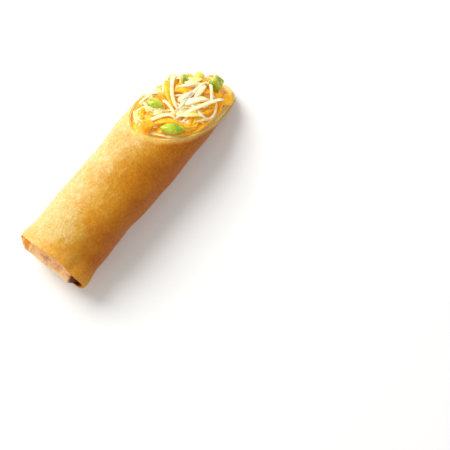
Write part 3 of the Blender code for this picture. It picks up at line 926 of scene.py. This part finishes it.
# crumbs lie mostly beside the left bean; places are radius, angle and lift over the heap
crumbs = {
    "seed": 5, "pieces": 46, "specks": 9, "size": (0.5, 1.25), "speckSize": (0.35, 0.6), "speckLift": 0.4,
    "flatness": (1.0, 0.8, 0.65), "rough": 0.35, "roughScale": 3.0,
    "turn": (0.0, 3.0), "beside": ((0.56, 0.80), (50.0, 88.0), (0.7, 1.5)),
    "anywhere": ((0.2, 0.96), (20.0, 200.0), (0.5, 1.2)),
}


def makeCrumb(place, size, turn):
    bpy.ops.mesh.primitive_ico_sphere_add(subdivisions=2, radius=0.5)
    shape = bpy.context.object
    stretch = Matrix.Diagonal(crumbs["flatness"]) * size
    turned = Euler((turn, 2.0 * turn, 3.0 * turn)).to_matrix() @ stretch
    for vert in shape.data.vertices:
        bump = 1.0 + crumbs["rough"] * noise.noise(vert.co * crumbs["roughScale"] + place)
        vert.co = toScene(place + turned @ (vert.co * bump))
    return shape


def makeCrumbs():       # soft crumbs and dark specks
    dice = random.Random(crumbs["seed"])
    soft, dark = [], []
    for index in range(crumbs["pieces"] + crumbs["specks"]):
        speck = index >= crumbs["pieces"]
        where = crumbs["beside" if index % 3 else "anywhere"]
        radius, angle, lift = (dice.uniform(*limits) for limits in where)
        lift += crumbs["speckLift"] if speck else 0.0
        size = dice.uniform(*crumbs["speckSize" if speck else "size"])
        crumb = makeCrumb(heapPoint(radius, angle, lift), size, dice.uniform(*crumbs["turn"]))
        (dark if speck else soft).append(crumb)
    joinFilling(soft, "softCrumbs", crumbLook)
    joinFilling(dark, "darkSpecks", speckLook)


makeCrumbs()
print("filling made")


def boxMiddle(node):
    low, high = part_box(node)
    return (Vector(low) + Vector(high)) / 2.0


# larger bits of vegetable, in the places the frame gives: shape, size, turn, look and slot
bits = {
    "green_bean_front": ("bean", (11.2, 5.6, 4.6), (-38, 12, -50), beanLook, "green_vegetable"),
    "green_bean_left": ("bean", (7.6, 5.2, 4.2), (-20, -7, -75), beanLook, "green_vegetable"),
    "green_cube_right": ("block", (5.6, 5.4, 5.2), (30, 34, 24), podLook, "green_vegetable"),
    "green_piece_back": ("block", (4.4, 3.6, 3.2), (20, 40, 45), podLook, "green_vegetable"),
    "corn_kernel": ("bean", (5.2, 4.2, 3.6), (0, 20, -45), cornLook, "corn"),
    "carrot_chunk_left": ("block", (5.6, 4.2, 3.4), (-6, 34, -18), carrotLook, "carrot"),
    "carrot_chunk_right": ("block", (7.0, 5.0, 4.4), (20, 20, -40), carrotLook, "carrot"),
}


bean = {"segments": 48, "rings": 32, "pinch": 0.25, "pinchPower": 3, "uneven": 0.05, "unevenScale": 2.0}
block = {"cuts": 3, "crooked": 0.06, "crookedScale": 1.7, "levels": 2}


def makeBean():         # a rounded pod slice, pinched at both ends
    bpy.ops.mesh.primitive_uv_sphere_add(segments=bean["segments"], ring_count=bean["rings"], radius=0.5)
    shape = bpy.context.object
    for vert in shape.data.vertices:
        x, y, z = vert.co.z * 2.0, vert.co.y, vert.co.x
        pinch = 1.0 - bean["pinch"] * abs(x) ** bean["pinchPower"]
        swell = 1.0 + bean["uneven"] * noise.noise(Vector((x, y, z)) * bean["unevenScale"])
        vert.co = Vector((0.5 * x, y * pinch, z * pinch)) * swell
    return shape


def makeBlock(shift):       # a diced piece with crooked sides
    bpy.ops.mesh.primitive_cube_add(size=1.0)
    shape = bpy.context.object
    bpy.ops.object.mode_set(mode="EDIT")
    bpy.ops.mesh.subdivide(number_cuts=block["cuts"])
    bpy.ops.object.mode_set(mode="OBJECT")
    for vert in shape.data.vertices:
        place = vert.co * block["crookedScale"] + Vector((shift, 0.0, 0.0))
        vert.co += block["crooked"] * noise.noise_vector(place)
    return shape


def makeBit(node):
    kind, size, turn, material, slot = bits[node]
    deselect()
    bit = makeBean() if kind == "bean" else makeBlock(len(node))
    for vert in bit.data.vertices:
        vert.co = Vector((vert.co.x * size[0], vert.co.y * size[1], vert.co.z * size[2])) * mm
    if kind == "block":
        rounded = bit.modifiers.new("rounded", "SUBSURF")
        rounded.levels = block["levels"]
        rounded.render_levels = block["levels"]
        applyAll(bit)
    bit.rotation_euler = Euler([math.radians(angle) for angle in turn])
    bit.location = boxMiddle(node)
    finishPiece(bit, node.replace("_", " ").title().replace(" ", ""), material, slot, node)


for node in bits:
    makeBit(node)
print("vegetables made")


studio = {
    "floorSize": 30.0, "floor": ((0.90, 0.90, 0.89), (0.93, 0.93, 0.92)), "floorCloud": (3.0, 2.0, 0.55),
    "floorRoughness": 0.55, "floorSpecular": 0.3, "world": 0.52, "worldColour": (1.0, 0.99, 0.97, 1.0),
    "key": {"place": (0.10, 0.62, 0.62), "size": 0.7, "power": 9.0},
    "fill": {"place": (-0.5, -0.5, 0.7), "size": 0.9, "power": 1.2},
}


def makeFloor():
    deselect()
    bpy.ops.mesh.primitive_plane_add(size=studio["floorSize"])
    floor = bpy.context.object
    floor.name = "floor"
    roughness, specular = studio["floorRoughness"], studio["floorSpecular"]
    material, tree, shader, place = startMaterial("paleFloor", roughness, specular)
    shade = mixColour(tree, noiseNode(tree, place, *studio["floorCloud"]), *studio["floor"])
    link(tree, shade, shader.inputs["Base Color"])
    floor.data.materials.append(material)


def makeLight(name):
    deselect()
    settings = studio[name]
    bpy.ops.object.light_add(type="AREA", location=settings["place"])
    light = bpy.context.object
    light.name = name + "Light"
    light.data.shape = "DISK"
    light.data.size = settings["size"]
    light.data.energy = settings["power"]
    light.rotation_euler = Vector(settings["place"]).to_track_quat("Z", "Y").to_euler()


def makeWorld():
    world = bpy.data.worlds.new("studio")
    bpy.context.scene.world = world
    world.use_nodes = True
    background = world.node_tree.nodes["Background"]
    background.inputs["Color"].default_value = studio["worldColour"]
    background.inputs["Strength"].default_value = studio["world"]


# the camera looks down on the roll; the tilts lean it along and across, the turn is about its own axis
view = {
    "tiltAlong": 7.5, "tiltAcross": 0.099, "turn": 50.5, "distance": 568.0,
    "aimRight": 42.4, "aimDown": 26.6, "lens": 100.0, "sensor": 36.0,
}


def makeCamera():
    tilt = math.radians(view["tiltAlong"])
    towards = Vector((-math.sin(tilt), -view["tiltAcross"], math.cos(tilt))).normalized()
    alongRoll = (Vector((1.0, 0.0, 0.0)) - towards.x * towards).normalized()
    acrossRoll = towards.cross(alongRoll)
    turn = math.radians(view["turn"])
    right = math.cos(turn) * alongRoll - math.sin(turn) * acrossRoll
    up = math.sin(turn) * alongRoll + math.cos(turn) * acrossRoll
    middle = Vector(((wrapperLow.x + wrapperHigh.x) / 2.0, middleAt, roll["axis"]))
    aim = middle + view["aimRight"] * right - view["aimDown"] * up
    deselect()
    bpy.ops.object.camera_add()
    camera = bpy.context.object
    facing = Matrix((right, up, towards)).transposed().to_4x4()
    camera.matrix_world = Matrix.Translation((aim + view["distance"] * towards) * mm) @ facing
    camera.data.lens = view["lens"]
    camera.data.sensor_width = view["sensor"]
    bpy.context.scene.camera = camera


makeFloor()
makeWorld()
makeLight("key")
makeLight("fill")
makeCamera()
bpy.context.scene.view_settings.view_transform = "Standard"
print("studio made")
